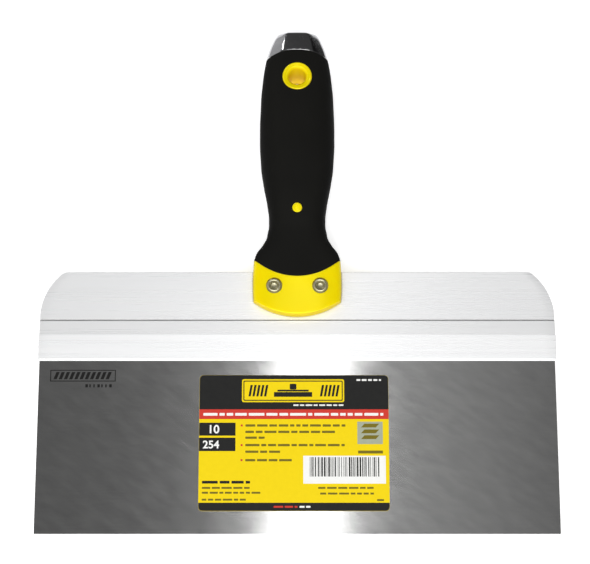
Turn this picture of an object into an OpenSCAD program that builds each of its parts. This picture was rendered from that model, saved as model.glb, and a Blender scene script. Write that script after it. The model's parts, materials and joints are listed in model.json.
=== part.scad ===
// Drywall taping knife: a wide blade held in an extruded aluminium spine, and a two-material handle
// that is riveted over the spine's flange and ends in a metal hammer cap.
// X runs along the working edge, +Y from the working edge to the butt, +Z out of the front face.
// The origin is the middle of the working edge, and the blade's mid-plane is Z = 0.

/* [Blade] */
// Width of the blade, along its working edge
blade_w = 254; // [200:1:300]
// Length of blade that stands out of the spine
blade_reach = 86.3; // [80:0.1:110]
// Thickness of the blade sheet
blade_t = 0.5; // [0.4:0.05:0.8]
// Length of blade that is held in the spine
blade_held = 17; // [10:1:19]

/* [Spine] */
// Height of the spine, from its lip to its top edge
spine_h = 45.6; // [44:0.1:48]
// Thickness of the lip, where the blade comes out
lip_t = 1.9; // [1.6:0.1:2.4]
// Thickness at the ridge, the thickest line of the spine
ridge_t = 4.3; // [3.6:0.1:5]
// Height of the ridge above the lip
ridge_rise = 12.9; // [11:0.1:14]
// Thickness just under the step down to the flange
step_t = 3.7; // [3.2:0.1:4.2]
// Height of that step above the lip
step_rise = 20.1; // [18:0.1:20.8]
// Thickness of the flange that the handle is riveted to
flange_t = 2.5; // [2:0.1:3]
// Radius of the flange's two upper corners
flange_corner_r = 30; // [26:0.5:40]
// Height of those corners
flange_corner_h = 23.7; // [20:0.1:24]
// How far the band under the ridge stands past the blade, at each end
band_over = 0.75; // [0:0.05:2]
// How far the flange stands past the blade, at each end
flange_over = 0.4; // [0:0.05:2]

/* [Handle outline] */
// Height of the bolster's lower edge above the spine's lip, at the middle
bolster_rise = 22.3; // [21.5:0.1:24]
// Length of the handle, from the bolster's lower edge to the butt
handle_l = 150.2; // [146:0.1:160]
// Width of the bolster
bolster_w = 44.1; // [42:0.1:48]
// Width at the corners where bolster and grip meet
flare_w = 43.2; // [40:0.1:46]
// Width of the waist
waist_w = 28.2; // [26:0.1:32]
// Width of the palm swell
swell_w = 37.7; // [34:0.1:42]
// Width where the grip meets the hammer cap
grip_end_w = 32.2; // [30:0.1:35]
// Width of the hammer face
butt_w = 19.6; // [16:0.1:24]
// Height of the waist above the bolster's lower edge
waist_h = 50; // [46:0.5:54]
// Height of the palm swell above the bolster's lower edge
swell_h = 95; // [85:0.5:100]

/* [Handle thickness] */
// Thickness of the bolster
bolster_t = 14.6; // [13.4:0.1:16]
// Thickness at the waist
waist_t = 20; // [17:0.5:23]
// Thickness of the palm swell
swell_t = 26; // [22:0.5:30]
// Thickness where the grip meets the hammer cap
grip_end_t = 22.4; // [20:0.1:24]
// Thickness of the hammer face
butt_t = 17; // [14:0.5:20]

/* [Grip] */
// Thickness of the soft grip over the core
grip_wall = 2.3; // [1.8:0.1:2.8]
// Height of the grip's lower edge at the middle, above the bolster's lower edge
grip_low_h = 19.3; // [19:0.1:21]
// Height of the grip's upper edge at the middle, above the bolster's lower edge
grip_top_h = 138.9; // [138.5:0.1:140]
// Radius of the bolster's lower edge
bolster_arc_r = 37; // [32:0.5:60]
// Radius of the grip's lower edge
grip_arc_r = 30.5; // [30:0.5:60]
// Radius of the grip's upper edge
cap_arc_r = 34; // [32:0.5:40]
// Diameter of the dot of core that shows at the waist
dot_d = 4.8; // [3:0.1:8]
// Height of that dot above the bolster's lower edge
dot_h = 54.2; // [50:0.1:70]

/* [Hang hole] */
// Diameter of the hang hole
hole_d = 8.8; // [6:0.1:10]
// Diameter of the ring of core around the hang hole
ring_d = 15; // [13:0.1:16]
// Height of the hang hole above the bolster's lower edge
hole_h = 124.1; // [122:0.1:125]
// Chamfer at both mouths of the hang hole
hole_chamfer = 1; // [0.5:0.1:1.5]

/* [Tang] */
// Thickness of the tang
tang_t = 2; // [1.5:0.1:2.5]
// Width of the tang between the rivets
tang_foot_w = 37; // [32:0.5:38]
// Width of the tang along the waist
tang_w = 16; // [12:0.5:18]
// Diameter of the tang's eye around the hang hole
eye_d = 21.4; // [19:0.1:23]
// Diameter of the hole in that eye
eye_hole_d = 12.4; // [11:0.1:14]

/* [Rivets] */
// Distance between the two rivets
rivet_gap = 22.8; // [18:0.1:26]
// Height of the rivets above the bolster's lower edge
rivet_h = 14.5; // [13:0.1:16]
// Diameter of a rivet's shank
rivet_d = 4.8; // [4:0.1:5]
// Diameter of a rivet's factory head, at the back
rivet_head_d = 7.8; // [6.5:0.1:8]
// Diameter of the washer under a rivet's rolled end, at the front
washer_d = 7.7; // [7.5:0.1:8.5]
// Thickness of that washer
washer_t = 0.6; // [0.5:0.1:1]
// Diameter of the pin that holds the hammer cap on the tang
pin_d = 3.5; // [2.5:0.1:4]

/* [Label] */
// Width of the label
label_w = 92.6; // [60:0.1:110]
// Height of the label
label_h = 67.8; // [40:0.1:72]
// Height of the label's lower edge above the working edge
label_rise = 11.3; // [5:0.1:12]
// Distance from the blade's middle to the label's middle
label_shift = -1.6; // [-10:0.1:10]
// Thickness of the label
label_t = 0.15; // [0.1:0.05:0.2]

/* [Hidden] */
$fn = 96;
eps = 0.01;
over = 1;  // how far a cut runs past what it cuts

// Y of the lines that the parts share
lip_y = blade_reach;
ridge_y = lip_y + ridge_rise;
step_y = lip_y + step_rise;
spine_top_y = lip_y + spine_h;
handle_y = lip_y + bolster_rise;
hole_y = handle_y + hole_h;
rivet_y = handle_y + rivet_h;

// Small clearances and blends
slot_gap = 0.02;      // between the blade and each wall of its slot
slot_spare = 0.5;     // depth of the slot past the blade
foot_groove_run = 0.3;   // relief groove at the foot of the step down to the flange
foot_groove_depth = 0.55; // its depth under the flange's face
foot_run = 1;         // where that groove ends, above the step
top_edge_run = 0.3;   // chamfer along the flange's top edge
lip_start_angle = 18; // the rounded lip starts clear of the slot
lip_angle_step = 24;
label_corner_r = 2;
spot_depth = 1;       // depth of the flats that the rivets' heads sit on
spot_gap = 0.15;      // between a washer and the side of its flat
flange_gap = 0.05;    // between the flange's top edge and the end of its slot in the core
core_top_drop = 3.5;  // from the sides of the grip's upper edge down to the core's top
cap_lift_run = 16;    // height over which the rings bend to the grip's upper edge
pin_drop = 2.6;       // from the grip's upper edge down to the cap's pin
pin_cover = 0.5;      // grip over each end of that pin
bolster_side_curve = 0.4; // how far the bolster's sides are drawn in at its lower corners
cap_step = 0.2;       // how far the hammer cap lies inside the grip's outline where they meet
roll_r = 0.75;        // half the height of a rivet's rolled end
rivet_hole_depth = 2.8; // depth of a rivet's hollow end
head_h = 1.4;         // height of a rivet's domed factory head

// Heights on the handle's sides, above the bolster's lower edge at the middle
bolster_side_h = sag(bolster_arc_r, flare_w / 2);
flare_h = grip_low_h + sag(grip_arc_r, flare_w / 2);
cap_side_h = grip_top_h - sag(cap_arc_r, grip_end_w / 2);
core_top_h = cap_side_h - core_top_drop;
lift_start_h = cap_side_h - cap_lift_run;
crease_h = 44;  // top of the flat face of the flare
pin_h = grip_top_h - pin_drop;

// How far an arc of radius r has risen at distance x from its middle
function sag(r, x) = r - sqrt(r * r - x * x);
function mix(a, b, t) = a + (b - a) * t;
function clamp01(t) = max(0, min(1, t));
function reversed(list) = [for (i = [len(list) - 1:-1:0]) list[i]];

// A point between two key points, with its own fraction along and across
function partway(p, q, along, across) = [mix(p.x, q.x, along), mix(p.y, q.y, across)];

// A smooth curve through key points [height, value], level at each peak and dip
function secant(keys, i) = (keys[i + 1].y - keys[i].y) / (keys[i + 1].x - keys[i].x);
function key_slope(keys, i) =
    let (before = secant(keys, max(i - 1, 0)))
    let (after = secant(keys, min(i, len(keys) - 2)))
    before * after <= 0 ? 0 : 2 * before * after / (before + after);
function span_of(keys, h, i = 0) =
    i >= len(keys) - 2 || h < keys[i + 1].x ? i : span_of(keys, h, i + 1);
function curve(keys, h) =
    let (i = span_of(keys, h))
    let (run = keys[i + 1].x - keys[i].x)
    let (t = clamp01((h - keys[i].x) / run))
    let (left = keys[i].y + key_slope(keys, i) * run * t)
    let (right = keys[i + 1].y - key_slope(keys, i + 1) * run * (1 - t))
    mix(left, right, t * t * (3 - 2 * t));

// Half widths along the handle's sides
flare_key = [flare_h, flare_w / 2];
waist_key = [waist_h, waist_w / 2];
swell_key = [swell_h, swell_w / 2];
grip_end_key = [cap_side_h, grip_end_w / 2];
butt_key = [handle_l, butt_w / 2];
bolster_keys = [
    [bolster_side_h, bolster_w / 2 - bolster_side_curve],
    [mix(bolster_side_h, flare_h, 0.4), bolster_w / 2],
    flare_key
];
grip_keys = [
    flare_key,
    partway(flare_key, waist_key, 0.2, 0.21),
    partway(flare_key, waist_key, 0.36, 0.55),
    partway(flare_key, waist_key, 0.68, 0.9),
    waist_key,
    partway(waist_key, swell_key, 0.14, 0.12),
    partway(waist_key, swell_key, 0.43, 0.6),
    partway(waist_key, swell_key, 0.71, 0.9),
    swell_key,
    partway(swell_key, grip_end_key, 0.41, 0.14),
    partway(swell_key, grip_end_key, 0.75, 0.49),
    grip_end_key
];
cap_keys = [
    grip_end_key,
    partway(grip_end_key, butt_key, 0.6, 0.47),
    butt_key
];
function half_width(h) =
    h < flare_h ? curve(bolster_keys, h) : h < cap_side_h ? curve(grip_keys, h) : curve(cap_keys, h);

// Half thicknesses
thickness_keys = [
    [bolster_side_h, bolster_t / 2 - 0.1],
    [mix(bolster_side_h, flare_h, 0.5), bolster_t / 2],
    [flare_h, bolster_t / 2 + 0.7],
    [crease_h, mix(bolster_t, waist_t, 0.6) / 2],
    [waist_h, waist_t / 2],
    [mix(waist_h, swell_h, 0.45), mix(waist_t, swell_t, 0.62) / 2],
    [swell_h, swell_t / 2],
    [hole_h, mix(swell_t, grip_end_t, 0.6) / 2],
    [cap_side_h, grip_end_t / 2],
    [handle_l, butt_t / 2]
];

// Squareness of the cross-section: 2 is an ellipse, more is squarer
square_keys = [
    [bolster_side_h, 6],
    [flare_h, 5.5],
    [waist_h, 2.5],
    [swell_h, 2.4],
    [cap_side_h, 2.8]
];

// The hammer cap's cross-section has a flat front, a wide chamfer and a low side instead
facet_share = 0.5;   // share of the half width that the flat front takes
facet_front = 0.95;  // height of the flat front, as a share of the half thickness
facet_side = 0.6;    // height of the side, likewise
function section_rise(h, c) =
    let (n = curve(square_keys, h))
    pow(max(0, 1 - pow(abs(c), n)), 1 / n);
function facet_rise(c) =
    abs(c) == 1 ? 0 : min(
        facet_front,
        mix(facet_front, facet_side, (abs(c) - facet_share) / (1 - facet_share))
    );

// The edges of bolster, grip and cap are arcs, so a ring of the handle's skin bows with them.
// h is the ring's height at the handle's sides, and c runs from -1 to 1 across its width.
function arc_drop(r, half_w, c) = sag(r, half_w) - sag(r, half_w * c);
function bolster_weight(h) = clamp01((flare_h - h) / (flare_h - bolster_side_h));
function flare_weight(h) =
    h < flare_h ? 1 - bolster_weight(h) : pow(clamp01((waist_h - h) / (waist_h - flare_h)), 2);
function cap_weight(h) =
    h < cap_side_h
        ? pow(clamp01((h - lift_start_h) / (cap_side_h - lift_start_h)), 2)
        : clamp01((handle_l - h) / (handle_l - cap_side_h));
function ring_height(h, c) =
    h
    - bolster_weight(h) * arc_drop(bolster_arc_r, flare_w / 2, c)
    - flare_weight(h) * arc_drop(grip_arc_r, flare_w / 2, c)
    + cap_weight(h) * arc_drop(cap_arc_r, grip_end_w / 2, c);

// Fractions of the half width at which a ring has its points, from its right side to its left:
// even steps across the face, and closer ones round the side
face_steps = 6;
side_steps = 4;
face_share = 0.8;
quarter_fractions = concat(
    [for (i = [0:side_steps - 1]) pow(1 - pow(face_share * i / side_steps, 3), 1 / 3)],
    [for (i = [face_steps:-1:1]) face_share * i / face_steps]
);
front_fractions = concat(
    quarter_fractions,
    [0],
    [for (i = [len(quarter_fractions) - 1:-1:0]) -quarter_fractions[i]]
);
half_count = len(front_fractions);
ring_count = 2 * (half_count - 1);

// One ring of the handle's skin, taken in by inset
function ring_point(h, inset, c, side, facet) =
    let (rise = facet ? facet_rise(c) : section_rise(h, c))
    [(half_width(h) - inset) * c, ring_height(h, c), side * (curve(thickness_keys, h) - inset) * rise];
function ring(h, inset = 0, facet = false) = concat(
    [for (c = front_fractions) ring_point(h, inset, c, 1, facet)],
    [for (i = [half_count - 2:-1:1]) ring_point(h, inset, front_fractions[i], -1, facet)]
);

// Triangles between ring k and the next one. Rings that run down inside a shell take the other
// diagonal, so that they match the skin of the part inside.
function strip(k, next, down = false) = [
    for (i = [0:ring_count - 1])
        let (j = (i + 1) % ring_count)
        let (a = k * ring_count + i)
        let (b = k * ring_count + j)
        let (c = next * ring_count + j)
        let (d = next * ring_count + i)
        each (down ? [[a, b, d], [b, c, d]] : [[a, b, c], [a, c, d]])
];

// Flat strips that close the ring whose first point is number start
function lid(start, top) = [
    for (i = [0:half_count - 2])
        let (a = start + i)
        let (b = start + i + 1)
        let (c = start + (ring_count - i - 1) % ring_count)
        let (d = start + (ring_count - i) % ring_count)
        let (face = a == d ? [a, b, c] : b == c ? [a, b, d] : [a, b, c, d])
        top ? face : reversed(face)
];

// A solid through a list of rings, closed at both ends
module ring_solid(rings) {
    last = len(rings) - 1;
    polyhedron(
        points = [for (r = rings) each r],
        faces = concat(
            [for (k = [0:last - 1]) each strip(k, k + 1)],
            lid(0, false),
            lid(last * ring_count, true)
        )
    );
}

// A tube whose skin runs up through the outer rings and back down through the inner ones
module ring_shell(outer, inner) {
    total = len(outer) + len(inner);
    polyhedron(
        points = [for (r = concat(outer, inner)) each r],
        faces = [for (k = [0:total - 1]) each strip(k, (k + 1) % total, k >= len(outer))]
    );
}

// Ring heights along the bolster, along the grip down to the hammer cap, and along the cap's skirt
bolster_edge = [[0, 1.4], [0.5, 0.5], [1.5, 0]];  // [height above the edge, inset], a rounded edge
bolster_heights = [for (t = [0.3, 0.55, 0.8]) mix(bolster_side_h, flare_h, t)];
flare_heights = [for (t = [0:0.2:0.8]) mix(flare_h, waist_h, t)];
palm_heights = [for (t = [0:0.1:1]) mix(waist_h, core_top_h, t)];
core_heights = concat(flare_heights, palm_heights);
skirt_heights = [mix(core_top_h, cap_side_h, 0.5), cap_side_h];
cap_heights = [for (t = [0.15, 0.4, 0.65, 0.85]) mix(cap_side_h, handle_l, t)];
butt_edge = [[1, 0.6], [0, 1.9]];                 // [height below the butt, inset], a rounded edge

// The boss around the hang hole and the dot at the waist stand up to the grip's outer surface
ring_face_z = 11.4;
dot_sink = 0.05;
dot_face_z = curve(thickness_keys, dot_h) - dot_sink;

// The flats under the rivets' heads
rivet_seat_z = bolster_t / 2 - spot_depth;

// Puts a side profile, drawn with Y to the right and Z up, along X with its middle at X = 0
module along_x(length) {
    rotate([90, 0, 90]) linear_extrude(length, center = true) children();
}

// A cylinder along Z through a point of the handle
module bore_z(x, y, d, length) {
    translate([x, y, 0]) cylinder(h = length, d = d, center = true);
}

// ---- Blade ----

// Stainless sheet with square corners
module blade() {
    color("silver")
        translate([-blade_w / 2, 0, -blade_t / 2])
            cube([blade_w, blade_reach + blade_held, blade_t]);
}

// Printed label on the blade's front face
module label() {
    inner_w = label_w - 2 * label_corner_r;
    inner_h = label_h - 2 * label_corner_r;
    color("gold")
        translate([label_shift, label_rise + label_h / 2, blade_t / 2])
            linear_extrude(label_t) {
                square([inner_w, label_h], center = true);
                square([label_w, inner_h], center = true);
                for (x = [-1, 1], y = [-1, 1])
                    translate([x * inner_w / 2, y * inner_h / 2]) circle(r = label_corner_r);
            }
}

// ---- Spine ----

// The extrusion's front side, with Y to the right and Z up, from the rounded lip to the top edge
spine_front = concat(
    [for (a = [lip_start_angle:lip_angle_step:90])
        [lip_y + lip_t / 2 * (1 - cos(a)), lip_t / 2 * sin(a)]],
    [
        [ridge_y, ridge_t / 2],
        [step_y, step_t / 2],
        [step_y + foot_groove_run, flange_t / 2 - foot_groove_depth],
        [step_y + foot_run, flange_t / 2],
        [spine_top_y - top_edge_run, flange_t / 2],
        [spine_top_y, flange_t / 2 - top_edge_run]
    ]
);

module spine_profile() {
    difference() {
        polygon(concat(spine_front, [for (p = reversed(spine_front)) [p.x, -p.y]]));
        translate([lip_y - over, -blade_t / 2 - slot_gap])
            square([blade_held + slot_spare + over, blade_t + 2 * slot_gap]);
    }
}

// The spine seen from the front: the band under the ridge, and the flange with its rounded corners
module spine_plan() {
    band_w = blade_w + 2 * band_over;
    flange_w = blade_w + 2 * flange_over;
    corner_x = flange_w / 2 - flange_corner_r;
    corner_y = spine_top_y - flange_corner_h;
    translate([-band_w / 2, lip_y - eps]) square([band_w, ridge_rise + eps]);
    translate([-flange_w / 2, ridge_y - eps]) square([flange_w, corner_y - ridge_y + eps]);
    translate([-corner_x, corner_y - eps]) square([2 * corner_x, flange_corner_h + over]);
    intersection() {
        translate([-flange_w / 2, corner_y - eps]) square([flange_w, flange_corner_h + over]);
        for (side = [-1, 1])
            translate([side * corner_x, corner_y]) circle(r = flange_corner_r);
    }
}

// Aluminium extrusion, trimmed to its plan and drilled for the rivets
module spine() {
    color("gainsboro")
        difference() {
            intersection() {
                along_x(blade_w + 2 * band_over + over) spine_profile();
                linear_extrude(ridge_t + over, center = true) spine_plan();
            }
            for (side = [-1, 1])
                bore_z(side * rivet_gap / 2, rivet_y, rivet_d, ridge_t);
        }
}

// ---- Tang ----

// The tang lies behind the flange, then steps to the handle's mid-plane
tang_foot_h = 4;       // from the bolster's lower edge to the tang's foot
tang_end_h = 3;        // from the grip's upper edge to the tang's end
tang_foot_y = handle_y + tang_foot_h;
joggle_y = spine_top_y + 2;
joggle_run = 8;
tang_top_y = handle_y + grip_top_h + tang_end_h;
foot_z = -(flange_t + tang_t) / 2;
tang_cut_l = 2 * flange_t + 4 * tang_t;  // long enough to cut through foot and bar
anchor_heights = [60, 80, 100];
anchor_d = 6;

module tang_side_profile() {
    half = tang_t / 2;
    polygon([
        [tang_foot_y, foot_z - half],
        [joggle_y, foot_z - half],
        [joggle_y + joggle_run, -half],
        [tang_top_y, -half],
        [tang_top_y, half],
        [joggle_y + joggle_run, half],
        [joggle_y, foot_z + half],
        [tang_foot_y, foot_z + half]
    ]);
}

module tang_plan() {
    shoulder_y = joggle_y + joggle_run;
    shoulder_run = 12;
    stub_w = tang_w - 2;
    polygon([
        [-tang_foot_w / 2, tang_foot_y - over],
        [tang_foot_w / 2, tang_foot_y - over],
        [tang_foot_w / 2, joggle_y],
        [tang_w / 2, joggle_y + shoulder_run],
        [-tang_w / 2, joggle_y + shoulder_run],
        [-tang_foot_w / 2, joggle_y]
    ]);
    translate([-tang_w / 2, shoulder_y]) square([tang_w, hole_y - shoulder_y]);
    translate([0, hole_y]) circle(d = eye_d);
    translate([-stub_w / 2, hole_y]) square([stub_w, tang_top_y - hole_y + over]);
}

// The bar with its eye and with the anchor holes that the core's plastic fills
module tang_blank() {
    difference() {
        intersection() {
            along_x(tang_foot_w + over) tang_side_profile();
            linear_extrude(tang_cut_l, center = true) tang_plan();
        }
        bore_z(0, hole_y, eye_hole_d, 2 * tang_t);
        for (h = anchor_heights)
            bore_z(0, handle_y + h, anchor_d, 2 * tang_t);
    }
}

// Steel bar that carries a hammer blow from the cap to the rivets
module tang() {
    color("dimgray")
        difference() {
            tang_blank();
            bore_z(0, handle_y + pin_h, pin_d, 2 * tang_t);
            for (side = [-1, 1])
                bore_z(side * rivet_gap / 2, rivet_y, rivet_d, tang_cut_l);
        }
}

// ---- Handle ----

// Chamfer at the front mouth of the hang hole
module hole_mouth() {
    translate([0, hole_y, ring_face_z - hole_chamfer])
        cylinder(h = hole_chamfer + eps, d1 = hole_d, d2 = hole_d + 2 * (hole_chamfer + eps));
}

// Yellow moulded core: bolster below, a smaller stem inside the grip above
module handle_core() {
    slot_h = spine_top_y + flange_gap - handle_y;
    color("gold")
        difference() {
            union() {
                translate([0, handle_y, 0])
                    ring_solid(concat(
                        [for (e = bolster_edge) ring(bolster_side_h + e[0], e[1])],
                        [for (h = bolster_heights) ring(h)],
                        [ring(flare_h)],
                        [for (h = core_heights) ring(h, grip_wall)]
                    ));
                bore_z(0, hole_y, ring_d, 2 * ring_face_z);
                bore_z(0, handle_y + dot_h, dot_d, 2 * dot_face_z);
            }
            translate([-bolster_w / 2 - over, handle_y - over, -flange_t / 2])
                cube([bolster_w + 2 * over, slot_h + over, flange_t]);
            tang_blank();
            bore_z(0, hole_y, hole_d, 4 * ring_face_z);
            hole_mouth();
            mirror([0, 0, 1]) hole_mouth();
            for (side = [-1, 1]) {
                bore_z(side * rivet_gap / 2, rivet_y, rivet_d, 2 * bolster_t);
                for (face = [0, 1])
                    mirror([0, 0, face])
                        translate([side * rivet_gap / 2, rivet_y, rivet_seat_z])
                            cylinder(h = bolster_t, d = washer_d + 2 * spot_gap);
            }
        }
}

// Black soft grip over the core, with windows for the ring and the dot
module grip() {
    heights = concat(core_heights, skirt_heights);
    color("#222222")
        difference() {
            translate([0, handle_y, 0])
                ring_shell(
                    [for (h = heights) ring(h)],
                    [for (h = reversed(heights)) ring(h, grip_wall)]
                );
            bore_z(0, hole_y, ring_d, 2 * swell_t);
            bore_z(0, handle_y + dot_h, dot_d, 2 * swell_t);
        }
}

// ---- Hammer cap ----

// Plated metal butt, with a skirt that reaches under the grip to the core
module hammer_cap() {
    color("lightgray")
        difference() {
            translate([0, handle_y, 0])
                ring_solid(concat(
                    [for (h = concat([core_top_h], skirt_heights)) ring(h, grip_wall)],
                    [ring(cap_side_h, cap_step, true)],
                    [for (h = cap_heights) ring(h, 0, true)],
                    [for (e = butt_edge) ring(handle_l - e[0], e[1], true)]
                ));
            tang_blank();
            bore_z(0, handle_y + pin_h, pin_d, 2 * grip_end_t);
        }
}

// Pin through the cap's skirt and the tang, covered by the grip
module cap_pin() {
    color("gray")
        bore_z(0, handle_y + pin_h, pin_d, grip_end_t - 2 * grip_wall - 2 * pin_cover);
}

// ---- Rivets ----

// Washer between the bolster and the rivet's rolled end
module washer(side) {
    translate([side * rivet_gap / 2, rivet_y, rivet_seat_z])
        difference() {
            cylinder(h = washer_t, d = washer_d);
            translate([0, 0, -eps]) cylinder(h = washer_t + 2 * eps, d = rivet_d);
        }
}

// Semi-tubular rivet: domed head at the back, hollow rolled end at the front
module rivet(side) {
    end_z = rivet_seat_z + washer_t;
    roll_x = rivet_d / 2 + roll_r / 2;
    head_r = (pow(rivet_head_d / 2, 2) + pow(head_h, 2)) / (2 * head_h);
    translate([side * rivet_gap / 2, rivet_y, 0])
        difference() {
            union() {
                translate([0, 0, -rivet_seat_z]) cylinder(h = rivet_seat_z + end_z + roll_r, d = rivet_d);
                translate([0, 0, end_z + roll_r])
                    rotate_extrude() translate([roll_x, 0]) circle(r = roll_r, $fn = 32);
                intersection() {
                    translate([0, 0, -rivet_seat_z - head_h]) cylinder(h = head_h, d = rivet_head_d);
                    translate([0, 0, -rivet_seat_z - head_h + head_r]) sphere(r = head_r);
                }
            }
            translate([0, 0, end_z + 2 * roll_r - rivet_hole_depth])
                cylinder(h = rivet_hole_depth + over, d = rivet_d - 2 * roll_r);
        }
}

module rivet_left() {
    color("darkgray") rivet(-1);
}

module rivet_right() {
    color("darkgray") rivet(1);
}

module washer_left() {
    color("gray") washer(-1);
}

module washer_right() {
    color("gray") washer(1);
}

blade();
spine();
label();
handle_core();
grip();
tang();
hammer_cap();
cap_pin();
rivet_left();
rivet_right();
washer_left();
washer_right();
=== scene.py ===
import json
import math
import random

import bmesh
import bpy
from mathutils import Matrix, Vector
from mathutils.bvhtree import BVHTree

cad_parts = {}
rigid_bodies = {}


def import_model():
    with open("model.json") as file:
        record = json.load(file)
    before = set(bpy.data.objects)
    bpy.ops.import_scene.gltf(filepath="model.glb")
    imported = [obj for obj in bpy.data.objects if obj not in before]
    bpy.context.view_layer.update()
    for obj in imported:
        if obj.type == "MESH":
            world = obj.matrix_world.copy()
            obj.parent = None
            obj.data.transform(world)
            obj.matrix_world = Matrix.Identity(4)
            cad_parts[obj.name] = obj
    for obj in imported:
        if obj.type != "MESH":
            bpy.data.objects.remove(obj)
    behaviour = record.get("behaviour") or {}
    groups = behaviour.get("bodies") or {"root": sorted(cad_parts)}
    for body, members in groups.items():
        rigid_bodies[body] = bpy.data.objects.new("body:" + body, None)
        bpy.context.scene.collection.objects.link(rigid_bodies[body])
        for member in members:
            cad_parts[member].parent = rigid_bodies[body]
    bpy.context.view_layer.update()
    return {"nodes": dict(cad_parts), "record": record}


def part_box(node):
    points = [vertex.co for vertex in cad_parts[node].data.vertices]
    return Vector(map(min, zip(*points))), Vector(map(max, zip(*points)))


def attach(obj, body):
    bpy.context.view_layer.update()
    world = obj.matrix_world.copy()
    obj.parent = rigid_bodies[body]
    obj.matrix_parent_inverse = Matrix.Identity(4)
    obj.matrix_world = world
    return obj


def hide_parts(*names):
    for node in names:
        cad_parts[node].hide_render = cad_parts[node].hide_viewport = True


# Drywall taping knife. X runs along the working edge, +Y from it to the butt, +Z out of the front
# face, and the blade's mid-plane is Z = 0. Shapes are worked out in millimetres and scaled to metres
# where a mesh is made. Materials, lights, floor and camera are in metres.

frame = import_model()

MM = 0.001


def node_box(node):
    """Lowest and highest corners of a CAD node, in millimetres."""
    low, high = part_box(node)
    return Vector(low) / MM, Vector(high) / MM


# ---- sizes that come from the frame

blade_high = node_box("blade")[1]
spine_low, spine_high = node_box("spine")
label_low, label_high = node_box("label")
washer_low, washer_high = node_box("washer_right")
rivet_low, rivet_high = node_box("rivet_right")

blade_half_w = blade_high.x
blade_half_t = blade_high.z
handle_y = node_box("handle_core")[0].y
butt_y = node_box("hammer_cap")[1].y
back_z = node_box("grip")[0].z
hole_y = [m for m in frame["record"]["mounts"] if m["name"] == "hang_hole"][0]["pos_m"][1] / MM
rivet_x = (washer_low.x + washer_high.x) / 2
rivet_y = (washer_low.y + washer_high.y) / 2
rivet_places = {"left": (-rivet_x, rivet_y), "right": (rivet_x, rivet_y)}


# ---- sizes of the visual model, in mm

SHARP_DEG = 35.0  # a surface that turns by more than this gets a sharp edge
BLADE_SHARP_DEG, SPINE_SHARP_DEG, CAP_SHARP_DEG = 15.0, 28.0, 40.0
WELD = 0.0005

BLADE_EDGE = 0.08
BLADE_COLUMNS, BLADE_ROWS = 65, 27

# Spine: half thicknesses, then heights above its lip
LIP_HALF, STEP_HALF, FLANGE_HALF = 0.95, 1.85, 1.25
RIDGE_RISE, STEP_RISE = 12.9, 20.1
GROOVE_RUN, GROOVE_DEPTH, GROOVE_END = 0.3, 0.55, 1.0  # relief groove at the foot of the step
END_STEP = 0.3        # height over which the thick band's end steps in to the flange's
FLANGE_OVER = 0.4     # how far the flange reaches past the blade, each side
FLANGE_TOP_R = 0.4
CORNER_R, CORNER_H, CORNER_SOFT, CORNER_PULL = 30.0, 23.7, 0.8, 1.4
SPINE_EDGE = 0.3
SLOT_GAP, SLOT_SPARE, SLOT_WALL = 0.02, 0.5, 0.05

# Rivets and washers
SHANK_R = 2.4
SPOT_R = 4.0          # flat seat of a washer in the bolster
HEAD_R = 3.9
TUBE_DEPTH = 2.6
WASHER_SOFT = 0.12

# Openings of the handle
HOLE_R = 4.4
RING_R = 7.45         # ring of core around the hang hole
DOT_R = 2.4
RING_GAP, DOT_GAP = 0.1, 0.05  # hairline between core and grip
WINDOW_SOFT = 0.3

# Handle, as in the CAD model; heights (_h) are above the bolster's lower edge
grip_wall = 2.3
core_inset = grip_wall + 0.05
bolster_arc_r, grip_arc_r, cap_arc_r = 37.0, 30.5, 34.0
bolster_w, flare_w, waist_w = 44.1, 43.2, 28.2
swell_w, grip_end_w, butt_w = 37.7, 32.2, 19.6
bolster_t, waist_t, swell_t, grip_end_t, butt_t = 14.6, 20.0, 26.0, 22.4, 17.0
BOLSTER_EDGE_R, BUTT_EDGE_R, GRIP_LIP = 0.7, 1.9, 0.35
SEAM_RIDGE = 0.07     # the mould's parting line down both sides
grip_low_h, waist_h, crease_h, dot_h = 19.3, 50.0, 44.0, 54.2
swell_h, grip_top_h = 95.0, 138.9
hole_h = hole_y - handle_y
handle_l = butt_y - handle_y


# ---- small helpers

def mix(a, b, t):
    return a + (b - a) * t


def clamp01(t):
    return max(0.0, min(1.0, t))


def sag(radius, x):
    """How far an arc has risen at distance x from its middle."""
    return radius - math.sqrt(radius * radius - x * x)


def between(p, q, *shares):
    """Points between p and q, each at its (along, across) shares of the way."""
    return [(mix(p[0], q[0], along), mix(p[1], q[1], across)) for along, across in shares]


def curve(keys, h):
    """A smooth curve through key points (height, value), level at each peak and dip."""
    def secant(i):
        return (keys[i + 1][1] - keys[i][1]) / (keys[i + 1][0] - keys[i][0])

    def slope(i):
        before = secant(max(i - 1, 0))
        after = secant(min(i, len(keys) - 2))
        return 0.0 if before * after <= 0 else 2 * before * after / (before + after)

    i = 0
    while i < len(keys) - 2 and h >= keys[i + 1][0]:
        i += 1
    run = keys[i + 1][0] - keys[i][0]
    t = clamp01((h - keys[i][0]) / run)
    left = keys[i][1] + slope(i) * run * t
    right = keys[i + 1][1] - slope(i + 1) * run * (1 - t)
    return mix(left, right, t * t * (3 - 2 * t))


def straight(keys, h):
    """Straight lines through key points (height, value), level beyond both ends."""
    for (low, value), (high, next_value) in zip(keys, keys[1:]):
        if h < high:
            return mix(value, next_value, clamp01((h - low) / (high - low)))
    return keys[-1][1]


def spread(start, end, count):
    """Evenly spaced values from start to end, both included."""
    return [mix(start, end, i / (count - 1)) for i in range(count)]


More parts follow.
